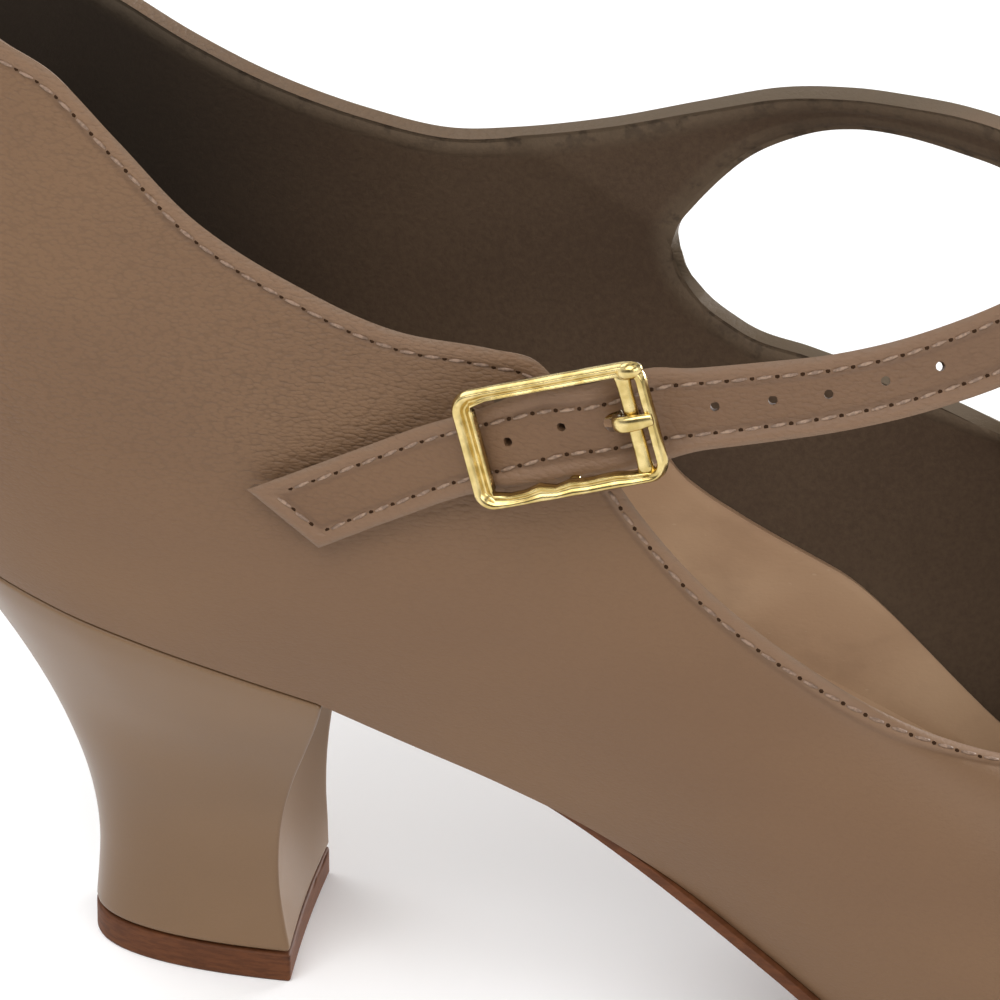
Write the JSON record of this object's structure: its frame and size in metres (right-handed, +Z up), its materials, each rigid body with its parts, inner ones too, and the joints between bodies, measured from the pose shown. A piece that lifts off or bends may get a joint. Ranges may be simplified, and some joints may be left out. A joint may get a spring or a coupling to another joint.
{
  "type": "dance shoe",
  "caption": "Right dance shoe in smooth leather with a covered block heel, an open collar and throat, and a buckled instep strap.",
  "frame": {"origin": "centre of the floor face of the heel's top piece", "axes": "+X to the toe, +Y to the inner (medial) side, +Z up; the buckle is on the -Y side"},
  "size_m": [0.2292, 0.0773, 0.1144],
  "materials": {
    "upper_leather": "smooth satin tan with fine grain",
    "insole_leather": "matte tan",
    "sole_leather": "rust brown, edge stained",
    "heel_cover": "smooth satin tan",
    "buckle_metal": "polished"
  },
  "bodies": {
    "root": {"upper": "upper_leather", "strap": "upper_leather", "buckle_tab": "upper_leather", "insole": "insole_leather", "outsole": "sole_leather", "heel_lift": "sole_leather", "heel_block": "heel_cover", "buckle_frame": "buckle_metal", "buckle_prong": "buckle_metal"}
  },
  "joints": []
}
